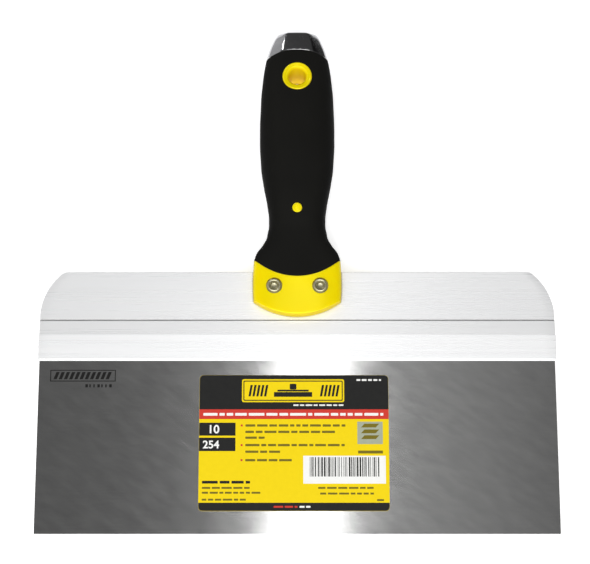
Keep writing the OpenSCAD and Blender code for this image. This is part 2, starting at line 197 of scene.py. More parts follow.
def quarter_round(radius, steps):
    """(advance, inset) pairs of a rounded edge, from the flat end to the side."""
    angles = spread(0.0, math.pi / 2, steps + 1)
    return [(radius * (1 - math.cos(a)), radius * (1 - math.sin(a))) for a in angles]


# ---- mesh helpers

def new_object(name, data):
    made = bpy.data.objects.new(name, data)
    bpy.context.scene.collection.objects.link(made)
    return made


def edit(mesh, change):
    """Lets change work on a mesh as a bmesh."""
    bm = bmesh.new()
    bm.from_mesh(mesh)
    change(bm)
    bm.to_mesh(mesh)
    bm.free()


def shade(mesh, sharp_deg):
    mesh.shade_smooth()
    mesh.set_sharp_from_angle(angle=math.radians(sharp_deg))


def piece_from(name, verts, faces, sharp_deg=SHARP_DEG, material=None):
    """A new object from points in millimetres, shaded smooth up to sharp_deg."""
    mesh = bpy.data.meshes.new(name)
    mesh.from_pydata([Vector(v) * MM for v in verts], [], faces)
    edit(mesh, lambda bm: bmesh.ops.recalc_face_normals(bm, faces=bm.faces))
    shade(mesh, sharp_deg)
    if material:
        mesh.materials.append(material)
    return new_object(name, mesh)


def made_mesh(piece):
    """The mesh that a piece's modifiers, or a font's letters, come out as."""
    bpy.context.view_layer.update()
    return bpy.data.meshes.new_from_object(piece.evaluated_get(bpy.context.evaluated_depsgraph_get()))


def combine(piece, tool, operation="DIFFERENCE", sharp_deg=SHARP_DEG):
    """Boolean of piece with tool, which is used up."""
    step = piece.modifiers.new(operation.lower(), "BOOLEAN")
    step.operation = operation
    step.solver = "EXACT"
    step.object = tool
    mesh = made_mesh(piece)
    piece.modifiers.clear()
    piece.data = mesh
    bpy.data.objects.remove(tool)
    shade(mesh, sharp_deg)


def joined(name, pieces):
    """One object from several, keeping each one's materials."""
    bm = bmesh.new()
    materials = []
    for piece in pieces:
        slots = [s.material for s in piece.material_slots]
        materials += [m for m in slots if m not in materials]
        first = len(bm.faces)
        bm.from_mesh(piece.data)
        bm.faces.ensure_lookup_table()
        for face in bm.faces[first:]:
            face.material_index = materials.index(slots[face.material_index])
        bpy.data.objects.remove(piece)
    mesh = bpy.data.meshes.new(name)
    bm.to_mesh(mesh)
    bm.free()
    for m in materials:
        mesh.materials.append(m)
    return new_object(name, mesh)


def loop_strips(loops, closed_ring=False):
    """Quads between neighbouring loops of equal length; the last joins the first if closed_ring."""
    count = len(loops[0])
    faces = []
    for k in range(len(loops) if closed_ring else len(loops) - 1):
        a, b = k * count, (k + 1) % len(loops) * count
        for i in range(count):
            j = (i + 1) % count
            faces.append((a + i, a + j, b + j, b + i))
    return faces


def lathe(name, profile, centre, segments=96, height_at=None):
    """Turns a (radius, z) profile, closed or from axis to axis, around the Z line through centre.

    height_at(x, y) lifts each point by a curved face's height; a profile point's third value is the
    share of the lift it takes.
    """
    verts, faces, rows = [], [], []
    for point in profile:
        r, z, share = (*point, 1.0)[:3]
        start = len(verts)
        for i in range(segments if r else 1):
            a = 2 * math.pi * i / segments
            x, y = centre[0] + r * math.cos(a), centre[1] + r * math.sin(a)
            lift = height_at(x, y) * share if height_at and share else 0.0
            verts.append((x, y, z + lift))
        rows.append(range(start, len(verts)))
    open_ended = len(rows[0]) == 1
    for k in range(len(rows) - 1 if open_ended else len(rows)):
        low, high = rows[k], rows[(k + 1) % len(rows)]
        for i in range(segments):
            j = (i + 1) % segments
            quad = (low[i % len(low)], low[j % len(low)], high[j % len(high)], high[i % len(high)])
            faces.append(list(dict.fromkeys(quad)))  # a triangle where two corners are one point
    return piece_from(name, verts, faces)


def both_faces(half):
    """A lathe profile for front and back, from its front half listed towards the middle plane."""
    front = [(*point, 1.0)[:3] for point in half]
    return front + [(r, -z, -share) for r, z, share in reversed(front)]


# ---- the handle's skin

bolster_side_h = sag(bolster_arc_r, flare_w / 2)
flare_h = grip_low_h + sag(grip_arc_r, flare_w / 2)
cap_side_h = grip_top_h - sag(cap_arc_r, grip_end_w / 2)
core_top_h = cap_side_h - 3.5
lift_start_h = cap_side_h - 16

# Half widths at these heights
flare_key = (flare_h, flare_w / 2)
waist_key = (waist_h, waist_w / 2)
swell_key = (swell_h, swell_w / 2)
grip_end_key = (cap_side_h, grip_end_w / 2)
butt_key = (handle_l, butt_w / 2)
bolster_keys = [
    (bolster_side_h, bolster_w / 2 - 0.4),
    (mix(bolster_side_h, flare_h, 0.4), bolster_w / 2),
    flare_key,
]
grip_keys = [
    flare_key,
    *between(flare_key, waist_key, (0.2, 0.21), (0.36, 0.55), (0.68, 0.9)),
    waist_key,
    *between(waist_key, swell_key, (0.14, 0.12), (0.43, 0.6), (0.71, 0.9)),
    swell_key,
    *between(swell_key, grip_end_key, (0.41, 0.14), (0.75, 0.49)),
    grip_end_key,
]
cap_keys = [grip_end_key, *between(grip_end_key, butt_key, (0.6, 0.47)), butt_key]
# Half thicknesses
thickness_keys = [
    (bolster_side_h, bolster_t / 2 - 0.1),
    (mix(bolster_side_h, flare_h, 0.5), bolster_t / 2),
    (flare_h, bolster_t / 2 + 0.7),
    (crease_h, mix(bolster_t, waist_t, 0.6) / 2),
    (waist_h, waist_t / 2),
    (mix(waist_h, swell_h, 0.45), mix(waist_t, swell_t, 0.62) / 2),
    (swell_h, swell_t / 2),
    (hole_h, mix(swell_t, grip_end_t, 0.6) / 2),
    (cap_side_h, grip_end_t / 2),
    (handle_l, butt_t / 2),
]
# Power of the cross-section's curve: 2 is an ellipse, more is squarer
square_keys = [(bolster_side_h, 6.0), (flare_h, 5.5), (waist_h, 2.5), (swell_h, 2.4), (cap_side_h, 2.8)]

# Fractions of the half width: even steps across the face, closer ones round the side
FACE_STEPS, SIDE_STEPS, FACE_SHARE = 26, 16, 0.8
quarter_fractions = [(1 - (FACE_SHARE * i / SIDE_STEPS) ** 3) ** (1 / 3) for i in range(SIDE_STEPS)]
quarter_fractions += [FACE_SHARE * i / FACE_STEPS for i in range(FACE_STEPS, 0, -1)]
front_fractions = quarter_fractions + [0.0] + [-c for c in reversed(quarter_fractions)]

# The hammer cap's cross-section: flat front, wide chamfer, low side, all with softened corners
FACET_SHARE, FACET_FRONT, FACET_SIDE, FACET_SOFT = 0.5, 0.95, 0.6, 0.05
FACET_END, FACET_DROP = 0.88, 0.2  # where the chamfer starts to round into the side, and how far it falls


def half_width(h):
    if h < flare_h:
        return curve(bolster_keys, h)
    return curve(grip_keys, h) if h < cap_side_h else curve(cap_keys, h)


def arc_drop(radius, half_w, c):
    return sag(radius, half_w) - sag(radius, half_w * c)


def ring_height(h, c):
    """Height of a ring's point at fraction c of its width; h is the ring's height at its sides."""
    low = clamp01((flare_h - h) / (flare_h - bolster_side_h))
    flare = 1 - low if h < flare_h else clamp01((waist_h - h) / (waist_h - flare_h)) ** 2
    if h < cap_side_h:
        cap = clamp01((h - lift_start_h) / (cap_side_h - lift_start_h)) ** 2
    else:
        cap = clamp01((handle_l - h) / (handle_l - cap_side_h))
    return (
        h
        - low * arc_drop(bolster_arc_r, flare_w / 2, c)
        - flare * arc_drop(grip_arc_r, flare_w / 2, c)
        + cap * arc_drop(cap_arc_r, grip_end_w / 2, c)
    )


def section_rise(h, c):
    n = curve(square_keys, h)
    return max(0.0, 1 - abs(c) ** n) ** (1 / n)


def facet_rise(c):
    if abs(c) == 1:
        return 0.0
    slope = (FACET_FRONT - FACET_SIDE) / (1 - FACET_SHARE)
    below = slope * (abs(c) - FACET_SHARE)
    rounding = FACET_DROP * (1 - math.sqrt(1 - clamp01((abs(c) - FACET_END) / (1 - FACET_END)) ** 2))
    # A smooth minimum of the flat front and the sloping chamfer
    return FACET_FRONT - 0.5 * (below + math.sqrt(below * below + FACET_SOFT ** 2)) - rounding


def ring(h, inset=0.0, seam=0.0, faceted=False):
    """One ring of the handle's skin, taken in by inset, as points in millimetres."""
    half_w = half_width(h) - inset
    half_t = curve(thickness_keys, h) - inset
    points = []
    for side, fractions in ((1, front_fractions), (-1, front_fractions[-2:0:-1])):
        for c in fractions:
            x = half_w * c + (math.copysign(seam, c) if abs(c) == 1 else 0.0)
            rise = facet_rise(c) if faceted else section_rise(h, c)
            points.append((x, handle_y + ring_height(h, c), side * half_t * rise))
    return points


def ring_lid(start, count):
    """Quads that close a ring: each joins a point to the one behind it."""
    faces = []
    for i in range(count // 2):
        behind, before = (count - i) % count, (count - i - 1) % count
        faces.append(list(dict.fromkeys(start + corner for corner in (i, i + 1, before, behind))))
    return faces


def ring_piece(name, rings, shell=False, sharp_deg=SHARP_DEG):
    """A solid with a lid at each end, or a shell, whose last ring joins its first."""
    count = len(rings[0])
    faces = loop_strips(rings, shell)
    if not shell:
        faces += ring_lid(0, count) + ring_lid((len(rings) - 1) * count, count)
    return piece_from(name, [p for r in rings for p in r], faces, sharp_deg)


def surface_height(piece):
    """A function that gives the height of the piece's front face above the point (x, y)."""
    tree = BVHTree.FromObject(piece, bpy.context.evaluated_depsgraph_get())
    down = Vector((0, 0, -1))

    def height(x, y):
        return tree.ray_cast(Vector((x * MM, y * MM, 1.0)), down)[0].z / MM

    return height


# ---- material helpers

class Nodes:
    """A node tree that grows one call at a time. A value may be plain or another node's output."""

    def __init__(self, tree):
        self.tree = tree

    def give(self, socket, value):
        """Sets a socket straight to a plain value, or links it to another node's output."""
        if isinstance(value, bpy.types.NodeSocket):
            self.tree.links.new(value, socket)
        elif socket.type == "RGBA":
            socket.default_value = (*value, 1.0)
        else:
            socket.default_value = value

    def add(self, kind, inputs, **settings):
        """A new node with its settings, and its inputs by name or number."""
        node = self.tree.nodes.new("ShaderNode" + kind)
        for name, setting in settings.items():
            setattr(node, name, setting)
        for name, value in inputs.items():
            self.give(node.inputs[name], value)
        return node

    def ranged(self, value, from_low, from_high, to_low=0.0, to_high=1.0, interpolation="LINEAR"):
        node = self.add("MapRange", {"Value": value, "From Min": from_low, "From Max": from_high,
                                     "To Min": to_low, "To Max": to_high}, interpolation_type=interpolation)
        return node.outputs["Result"]

    def math(self, operation, a, b=0.0):
        return self.add("Math", {0: a, 1: b}, operation=operation).outputs["Value"]

    def plus(self, a, b):
        return self.math("ADD", a, b)

    def times(self, a, b):
        return self.math("MULTIPLY", a, b)

    def dot(self, a, b):
        return self.add("VectorMath", {0: a, 1: b}, operation="DOT_PRODUCT").outputs["Value"]


class Shader(Nodes):
    """A material with one surface, placed by the object's own coordinates in metres."""

    def __init__(self, name):
        self.material = bpy.data.materials.new(name)
        self.material.use_nodes = True
        super().__init__(self.material.node_tree)
        self.surface = self.tree.nodes["Principled BSDF"]
        self.place = self.add("TexCoord", {}).outputs["Object"]
        self.normal = self.add("NewGeometry", {}).outputs["Normal"]

    def look(self, sockets):
        """Values for the surface's own sockets."""
        for name, value in sockets.items():
            self.give(self.surface.inputs[name], value)

    def stretched(self, times, turn=0.0):
        """The place turned about Z by some degrees, then multiplied axis by axis."""
        turned = self.add("Mapping", {"Vector": self.place, "Rotation": (0.0, 0.0, math.radians(turn))})
        return self.add("Mapping", {"Vector": turned.outputs["Vector"], "Scale": times}).outputs["Vector"]

    def noise(self, times=(1, 1, 1), scale=1.0, detail=3.0, roughness=0.5, turn=0.0):
        node = self.add("TexNoise", {"Vector": self.stretched(times, turn), "Scale": scale,
                                     "Detail": detail, "Roughness": roughness})
        return node.outputs["Fac"]

    def cells(self, scale):
        return self.add("TexVoronoi", {"Vector": self.place, "Scale": scale}).outputs["Distance"]

    def edges(self, radius):
        """A mask that is 1 along edges, within about radius metres of them, and 0 on open faces."""
        rounded = self.add("Bevel", {"Radius": radius}, samples=4).outputs["Normal"]
        return self.ranged(self.dot(rounded, self.normal), 1.0, 0.96)

    def worn(self, radius, patch_scale=400.0):
        """Edge wear: the edge mask, broken up by noise."""
        patches = self.noise(scale=patch_scale)
        return self.times(self.edges(radius), self.ranged(patches, 0.35, 0.6, 0.25, 1.0))

    def crevices(self, radius):
        """A mask that is 1 in grooves and seams up to about radius metres deep, and 0 in the open."""
        open_sky = self.add("AmbientOcclusion", {"Distance": radius}, samples=8).outputs["AO"]
        return self.ranged(open_sky, 0.75, 0.35)

    def sideways(self, from_level, to_level):
        """A mask that grows from 0 to 1 as the normal's cosine to Z falls between the two levels."""
        facing = self.add("SeparateXYZ", {"Vector": self.normal}).outputs["Z"]
        return self.ranged(self.math("ABSOLUTE", facing), from_level, to_level)

    def blend(self, factor, color_a, color_b):
        """color_a where factor is 0, color_b where it is 1."""
        return self.add("Mix", {"Factor": factor, 6: color_a, 7: color_b}, data_type="RGBA").outputs[2]

    def bump(self, height, distance, strength=1.0):
        """Bump of that many metres, on top of any earlier bump."""
        node = self.add("Bump", {"Strength": strength, "Distance": distance, "Height": height})
        normal = self.surface.inputs["Normal"]
        if normal.links:
            self.give(node.inputs["Normal"], normal.links[0].from_socket)
        self.give(normal, node.outputs["Normal"])


# ---- materials

def blade_steel():
    """Stainless sheet, polished along its width, softly mottled, with burnished edges."""
    s = Shader("blade_steel")
    grain = s.noise((60, 2200, 60), detail=4.0, roughness=0.6)
    mottle = s.noise((75, 200, 75), turn=32.0)
    tone = s.plus(s.times(mottle, 0.75), s.times(grain, 0.25))
    plain = s.blend(tone, (0.49, 0.49, 0.49), (0.69, 0.69, 0.68))
    s.look({
        "Base Color": s.blend(s.worn(0.0002), plain, (0.7, 0.7, 0.69)),
        "Roughness": s.ranged(s.plus(mottle, grain), 0.6, 1.4, 0.085, 0.125),
        "Metallic": 1.0,
    })
    s.bump(grain, 0.0000010)
    s.bump(mottle, 0.000005)
    return s.material


def etched_ink():
    """Dark oxide of an electro-etched mark."""
    s = Shader("etched_ink")
    s.look({
        "Base Color": s.blend(s.noise((900, 900, 900)), (0.003, 0.003, 0.003), (0.016, 0.016, 0.015)),
        "Roughness": s.ranged(s.noise((300, 300, 300)), 0.3, 0.7, 0.55, 0.7),
        "Specular IOR Level": 0.15,
    })
    return s.material


def spine_aluminium():
    """Satin aluminium: faint draw lines along the extrusion, polished edges, painted shade in the grooves.
    """
    s = Shader("spine_aluminium")
    lines = s.noise((5, 900, 900), detail=5.0, roughness=0.65)
    broad = s.noise((9, 60, 60), detail=2.0)
    worn = s.worn(0.0005)
    plain = s.blend(s.times(s.plus(lines, broad), 0.5), (0.87, 0.88, 0.89), (0.97, 0.97, 0.97))
    bright = s.blend(worn, plain, (0.97, 0.97, 0.97))
    s.look({
        # Painted shade: grooves and seams are coloured dark where the occlusion mask finds them
        "Base Color": s.blend(s.crevices(0.0016), bright, (0.16, 0.16, 0.155)),
        "Roughness": s.math("SUBTRACT", s.ranged(lines, 0.3, 0.7, 0.25, 0.33), s.times(worn, 0.1)),
        "Metallic": 0.35,
    })
    s.bump(lines, 0.000003)
    return s.material


def core_plastic():
    """Glossy yellow moulding: faint flow marks, paler rubbed edges, duller on its sides, with painted shade
    on its sides and in its hollows.
    """
    s = Shader("core_plastic")
    flow = s.noise((35, 60, 35), detail=2.0)
    scuffs = s.noise((900, 260, 900), detail=5.0, roughness=0.7)
    plain = s.blend(flow, (0.82, 0.64, 0.001), (0.87, 0.70, 0.002))
    rubbed = s.blend(s.times(s.worn(0.0005), 0.4), plain, (0.92, 0.80, 0.12))
    side = s.sideways(0.75, 0.35)
    # Painted shade: faces that turn sideways, and hollows, are coloured a deeper yellow
    deep = s.math("MAXIMUM", s.crevices(0.005), s.times(side, 0.85))
    s.look({
        "Base Color": s.blend(deep, rubbed, (0.74, 0.54, 0.001)),
        "Roughness": s.plus(s.ranged(s.plus(flow, scuffs), 0.7, 1.4, 0.13, 0.19), s.times(side, 0.45)),
        "Specular IOR Level": 0.8,
        "Specular Tint": (1.0, 1.0, 0.12),
        "Subsurface Weight": 0.25,
        "Subsurface Scale": 0.004,
        "Subsurface Radius": (1.0, 0.7, 0.05),
    })
    s.bump(s.noise(scale=700.0, detail=2.0), 0.000025)
    return s.material


def grip_rubber():
    """Matt black rubber: fine spark-eroded grain, mottled dust, sides painted darker as shade, greyed edges.
    """
    s = Shader("grip_rubber")
    dust = s.noise((55, 30, 55), detail=4.0)
    plain = s.blend(dust, (0.0065, 0.0065, 0.0058), (0.0100, 0.0098, 0.0088))
    # Painted shade: faces that turn sideways are coloured darker than the front and back
    side_shaded = s.blend(s.sideways(0.95, 0.45), plain, (0.0028, 0.0028, 0.0024))
    s.look({
        "Base Color": s.blend(s.times(s.worn(0.0005), 0.4), side_shaded, (0.018, 0.018, 0.016)),
        "Roughness": s.ranged(dust, 0.3, 0.7, 0.60, 0.72),
        "Specular IOR Level": 0.04,
    })
    s.bump(s.cells(2600.0), 0.00003, 0.7)
    s.bump(s.noise(scale=160.0, detail=2.0), 0.00006)
    return s.material


def cap_chrome():
    """Bright plating over a cast butt: slightly wavy, with fine knocks and rubbed edges."""
    s = Shader("cap_chrome")
    fine = s.noise(scale=1500.0, detail=4.0)
    worn = s.worn(0.0006, 900.0)
    plain = s.blend(fine, (0.50, 0.50, 0.52), (0.62, 0.62, 0.63))
    s.look({
        "Base Color": s.blend(worn, plain, (0.78, 0.77, 0.75)),
        "Roughness": s.plus(s.ranged(fine, 0.3, 0.7, 0.12, 0.18), s.times(worn, 0.08)),
        "Metallic": 1.0,
    })
    s.bump(s.noise(scale=140.0, detail=1.0), 0.00006)
    s.bump(fine, 0.000004)
    return s.material


def plain_steel(name, marks_of, dark, light, edge, wear, roughness):
    """Dull steel: marks between a dark and a light tone, and edges rubbed brighter.

    marks_of goes to noise and wear goes to worn.
    """
    s = Shader(name)
    marks = s.noise(detail=4.0, **marks_of)
    s.look({
        "Base Color": s.blend(s.worn(*wear), s.blend(marks, dark, light), edge),
        "Roughness": s.ranged(marks, 0.3, 0.7, *roughness),
        "Metallic": 1.0,
    })
    s.bump(marks, 0.00001)
    return s.material


def rolled_steel():
    """Dull rolled steel of the tang, with scale marks along it."""
    return plain_steel("rolled_steel", {"times": (300, 60, 300)}, (0.28, 0.28, 0.28), (0.45, 0.44, 0.43),
                       (0.6, 0.6, 0.58), (0.0005,), (0.38, 0.55))


def print_ink(name, dark, light):
    """A printed colour under the label's clear film."""
    s = Shader(name)
    s.look({
        "Base Color": s.blend(s.noise(scale=420.0), dark, light),
        "Roughness": s.ranged(s.noise((90, 60, 90)), 0.3, 0.7, 0.46, 0.58),
        "Specular IOR Level": 0.2,
    })
    s.bump(s.noise(scale=260.0, detail=2.0), 0.000012)
    return s.material


INK_TONES = {
    "yellow": ((0.82, 0.61, 0.001), (0.88, 0.66, 0.002)),
    "black": ((0.010, 0.010, 0.010), (0.016, 0.016, 0.015)),
    "red": ((0.56, 0.035, 0.022), (0.63, 0.05, 0.034)),
    "white": ((0.83, 0.83, 0.80), (0.90, 0.90, 0.88)),
    "olive": ((0.15, 0.12, 0.01), (0.20, 0.16, 0.015)),
    "grey": ((0.34, 0.37, 0.27), (0.40, 0.43, 0.33)),
}
INK = {ink: print_ink("ink_" + ink, *tones) for ink, tones in INK_TONES.items()}
# Rivets, washers and the cap's pin: zinc tones tinted yellow as a painted reflection of the yellow moulding
ZINC = plain_steel("zinc_plate", {"scale": 1100.0}, (0.38, 0.36, 0.23), (0.56, 0.53, 0.37),
                   (0.68, 0.67, 0.60), (0.0002, 900.0), (0.34, 0.5))


def finish_piece(piece, node, material=None):
    """Gives a piece its material and its body, and hides the CAD node it stands for."""
    if material:
        piece.data.materials.clear()
        piece.data.materials.append(material)
    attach(piece, "root")
    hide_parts(node)


# ---- flat printed shapes

def rounded_outline(x0, y0, x1, y1, radii, steps=8):
    """Corner-rounded rectangle, counter-clockwise from its lower left; radii in that order."""
    corners = [(x0, y0, 1, 1, 180), (x1, y0, -1, 1, 270), (x1, y1, -1, -1, 0), (x0, y1, 1, -1, 90)]
    points = []
    for (x, y, sx, sy, start), r in zip(corners, radii):
        for i in range(steps + 1 if r else 1):
            a = math.radians(start + 90 * i / steps)
            points.append((x + sx * r + r * math.cos(a), y + sy * r + r * math.sin(a)))
    return points


class Print:
    """Flat shapes, each a thin closed plate, placed from an origin with y upwards or downwards (-1)."""

    def __init__(self, base_z, origin=(0.0, 0.0), y_sign=1):
        self.base_z = base_z
        self.origin = origin
        self.y_sign = y_sign
        self.plates = {}

    def at(self, x, y):
        return (self.origin[0] + x, self.origin[1] + self.y_sign * y)

    def plate(self, ink, outline, level=1):
        """level puts a shape on top of the shapes with a lower one."""
        self.plates.setdefault(ink, []).append((outline, level))

    def panel(self, ink, x0, y0, x1, y1, radii, level=1, steps=8):
        (left, low), (right, high) = self.at(x0, y0), self.at(x1, y1)
        outline = rounded_outline(left, min(low, high), right, max(low, high), radii, steps)
        self.plate(ink, outline, level)

    def bar(self, ink, x0, y0, x1, y1, level=1, radius=0.0):
        self.panel(ink, x0, y0, x1, y1, [radius] * 4, level, steps=5)

    def slant(self, ink, x, width, lean, y_foot, y_head, level=1):
        """A leaning bar: x is its foot's left corner."""
        foot = (self.at(x, y_foot), self.at(x + width, y_foot))
        head = (self.at(x + width + lean, y_head), self.at(x + lean, y_head))
        self.plate(ink, [*foot, *head], level)

    def objects(self, inks, layer=0.006):
        """One object for each ink; layer is the ink's thickness per level."""
        made = []
        for ink, shapes in self.plates.items():
            verts, faces = [], []
            for outline, level in shapes:
                start, count = len(verts), len(outline)
                for z in (self.base_z - layer, self.base_z + layer * level):
                    verts += [(x, y, z) for x, y in outline]
                lids = [list(reversed(range(count))), list(range(count, 2 * count))]
                faces += [[start + i for i in face] for face in lids + loop_strips([outline] * 2)]
            made.append(piece_from("print_" + ink, verts, faces, material=inks[ink]))
        return made


def digits(text, x, y, height, z, thickness, material):
    """Plain size numerals, upright, with their lower left corner at (x, y)."""
    font = bpy.data.curves.new("digits", "FONT")
    font.body = text
    font.offset = 0.022
    font.extrude = 0.5
    font.resolution_u = 6
    holder = new_object("digits", font)
    mesh = made_mesh(holder)
    bpy.data.objects.remove(holder)
    xs = [v.co.x for v in mesh.vertices]
    ys = [v.co.y for v in mesh.vertices]
    scale = height / (max(ys) - min(ys))
    for v in mesh.vertices:
        placed = (x + (v.co.x - min(xs)) * scale, y + (v.co.y - min(ys)) * scale, z + v.co.z * thickness)
        v.co = Vector(placed) * MM
    # The letters' walls and lids come apart, so their shared points are joined
    edit(mesh, lambda bm: bmesh.ops.remove_doubles(bm, verts=bm.verts, dist=WELD * MM))
    mesh.materials.append(material)
    return new_object("digits", mesh)


# ---- camera, floor and light, in metres

CAMERA_TILT = math.radians(17.0)
CAMERA_DISTANCE = 1.13
CAMERA_TARGET = Vector((-0.0011, 0.12707, 0.0))
LENS_MM = 138.5       # on Blender's own 36 mm sensor

FLOOR_HALF, FLOOR_GAP, FLOOR_GLOW = 6.0, 0.0002, 0.5

DARK_TILT = math.radians(45)
DARK_DIRECTION = Vector((-0.04, math.sin(DARK_TILT), math.cos(DARK_TILT))).normalized()
# Fades of the room and of the glow over the blade: where each starts and ends, as cosines, then its
# brightness there
DARK_FADE = (math.cos(math.radians(65)), math.cos(math.radians(44)), 1.15, 0.06)
RIGHT_FADE = (0.3, 0.6, 1.0, 0.14)
LEFT_FADE = (-0.8, -0.45, 0.4, 1.0)
GLOW_X, GLOW_ACROSS, GLOW_ALONG = 0.03, (0.0, 0.12, 0.32, 0.08), (0.30, 0.50, 1.0, 0.0)


def make_camera():
    data = bpy.data.cameras.new("camera")
    data.lens = LENS_MM
    camera = new_object("camera", data)
    back = Vector((0.0, -math.sin(CAMERA_TILT), math.cos(CAMERA_TILT)))
    camera.location = CAMERA_TARGET + back * CAMERA_DISTANCE
    camera.rotation_euler = (CAMERA_TILT, 0.0, 0.0)
    bpy.context.scene.camera = camera


def make_floor():
    """A white table under the back of the palm swell."""
    mesh = bpy.data.meshes.new("floor")
    edit(mesh, lambda bm: bmesh.ops.create_grid(bm, x_segments=1, y_segments=1, size=FLOOR_HALF))
    floor = new_object("floor", mesh)
    floor.location.z = back_z * MM - FLOOR_GAP
    s = Shader("floor")
    s.look({
        "Base Color": s.blend(s.noise((3, 3, 3)), (0.86, 0.86, 0.86), (0.9, 0.9, 0.9)),
        "Roughness": 0.9,
        "Specular IOR Level": 0.1,
        "Emission Color": (1.0, 1.0, 1.0),
        "Emission Strength": FLOOR_GLOW,
    })
    mesh.materials.append(s.material)


def make_world():
    """A white room, dark above the knife and beyond its butt, with a soft glow over the blade."""
    world = bpy.data.worlds.new("studio")
    bpy.context.scene.world = world
    world.use_nodes = True
    sky = Nodes(world.node_tree)
    place = sky.add("TexCoord", {}).outputs["Generated"]
    split = sky.add("SeparateXYZ", {"Vector": place}).outputs

    def fade(value, ends):
        return sky.ranged(value, *ends, interpolation="SMOOTHSTEP")

    sides = sky.times(fade(split["X"], RIGHT_FADE), fade(split["X"], LEFT_FADE))
    room = sky.times(fade(sky.dot(place, DARK_DIRECTION), DARK_FADE), sides)
    off_middle = sky.math("ABSOLUTE", sky.math("SUBTRACT", split["X"], GLOW_X))
    glow = sky.times(fade(off_middle, GLOW_ACROSS), fade(split["Y"], GLOW_ALONG))
    background = sky.tree.nodes["Background"].inputs
    sky.give(background["Color"], (1.0, 1.0, 1.0))
    sky.give(background["Strength"], sky.plus(room, glow))


def area_light(name, place, aim, size, radiance, roll=0.0, color=(1.0, 1.0, 1.0)):
    """A rectangular softbox whose brightness is given as radiance; roll is in degrees."""
    data = bpy.data.lights.new(name, "AREA")
    data.shape = "RECTANGLE"
    data.size, data.size_y = size
    data.energy = radiance * size[0] * size[1] * math.pi
    data.color = color
    light = new_object(name, data)
    light.location = place
    turn = (Vector(aim) - Vector(place)).to_track_quat("-Z", "Y").to_matrix()
    light.rotation_euler = (turn @ Matrix.Rotation(math.radians(roll), 3, "Z")).to_euler()


def make_lights():
    """A strip over the blade, a softbox, a dim panel and a thin light for the cap, one in the hole."""
    area_light("strip_overhead", place=(0.0145, 0.34, 1.08), aim=(0.0145, 0.30, 0.0),
               size=(0.071, 0.62), radiance=3.0, roll=-3.0)
    area_light("key_softbox", place=(0.0, -0.63, 1.37), aim=(0.0, 0.1, 0.0), size=(1.3, 0.8), radiance=5.0)
    area_light("cap_panel", place=(-0.97, 1.22, 0.57), aim=(0.0, 0.25, 0.0), size=(1.0, 1.0), radiance=0.42)
    area_light("cap_edge", place=(-0.56, 1.35, 1.0), aim=(0.0, 0.25, 0.0), size=(0.09, 0.6), radiance=12.0)
    in_hole = Vector((0.0, hole_y, -swell_t / 2 + 3.5)) * MM
    area_light("hole_backlight", place=in_hole, aim=in_hole + Vector((0.0, 0.0, 1.0)),
               size=(0.007, 0.007), radiance=1.5, color=(1.0, 0.92, 0.15))


# ---- blade and spine

def build_blade():
    """The sheet, with a hair of rounding on its edges, and its etched mark."""
    sheet = bmesh.new()
    columns = spread(-blade_half_w, blade_half_w, BLADE_COLUMNS)
    rows = spread(0.0, blade_high.y, BLADE_ROWS)
    grid = [[sheet.verts.new((x * MM, y * MM, blade_half_t * MM)) for x in columns] for y in rows]
    for low, high in zip(grid, grid[1:]):
        for i in range(len(columns) - 1):
            sheet.faces.new((low[i], low[i + 1], high[i + 1], high[i]))
    back = bmesh.ops.extrude_face_region(sheet, geom=sheet.faces[:])
    moved = [v for v in back["geom"] if isinstance(v, bmesh.types.BMVert)]
    bmesh.ops.translate(sheet, verts=moved, vec=(0, 0, -2 * blade_half_t * MM))
    bmesh.ops.recalc_face_normals(sheet, faces=sheet.faces)
    rim = [e for e in sheet.edges if len(e.link_faces) == 2 and e.calc_face_angle() > 1.0]
    bmesh.ops.bevel(sheet, geom=rim, offset=BLADE_EDGE * MM, segments=2, affect="EDGES", profile=0.5)
    mesh = bpy.data.meshes.new("blade_sheet")
    sheet.to_mesh(mesh)
    sheet.free()
    mesh.materials.append(blade_steel())
    shade(mesh, BLADE_SHARP_DEG)
    blade = joined("blade_sheet", [new_object("blade_plain", mesh)] + etched_mark())
    finish_piece(blade, "blade")


def etched_mark():
    """A plain etched panel with slanted bars, and a row of ticks under it."""
    left, right, low, high = -121.4, -89.2, 75.9, 81.8
    line, margin, bars, lean, bar_share = 0.45, 1.1, 11, 1.4, 0.62
    mark = Print(blade_half_t)
    for y in (low, high - line):
        mark.bar("etched", left, y, right, y + line)
    for x in (left, right - line):
        mark.bar("etched", x, low + line, x + line, high - line)
    pitch = (right - left - 4.0) / bars
    for i in range(bars):
        mark.slant("etched", left + 1.6 + i * pitch, bar_share * pitch, lean, low + margin, high - margin)
    tick_low, tick_high, tick_pitch = 72.9, 74.5, 1.95
    for i in range(7):
        x = right - 14.8 + i * tick_pitch
        mark.bar("etched", x, tick_low, x + (0.7 if i % 3 else 1.25), tick_high)
    return mark.objects({"etched": etched_ink()})


def spine_half_thickness(rise):
    """Half thickness of the extrusion at a height above its lip."""
    below_top = spine_high.y - spine_low.y - rise
    if rise < LIP_HALF:
        return math.sqrt(max(0.0, LIP_HALF ** 2 - (LIP_HALF - rise) ** 2))
    if below_top < FLANGE_TOP_R:
        return FLANGE_HALF - sag(FLANGE_TOP_R, FLANGE_TOP_R - below_top)
    return straight([
        (LIP_HALF, LIP_HALF),
        (RIDGE_RISE, spine_high.z),
        (STEP_RISE, STEP_HALF),
        (STEP_RISE + GROOVE_RUN, FLANGE_HALF - GROOVE_DEPTH),
        (STEP_RISE + GROOVE_END, FLANGE_HALF),
    ], rise)


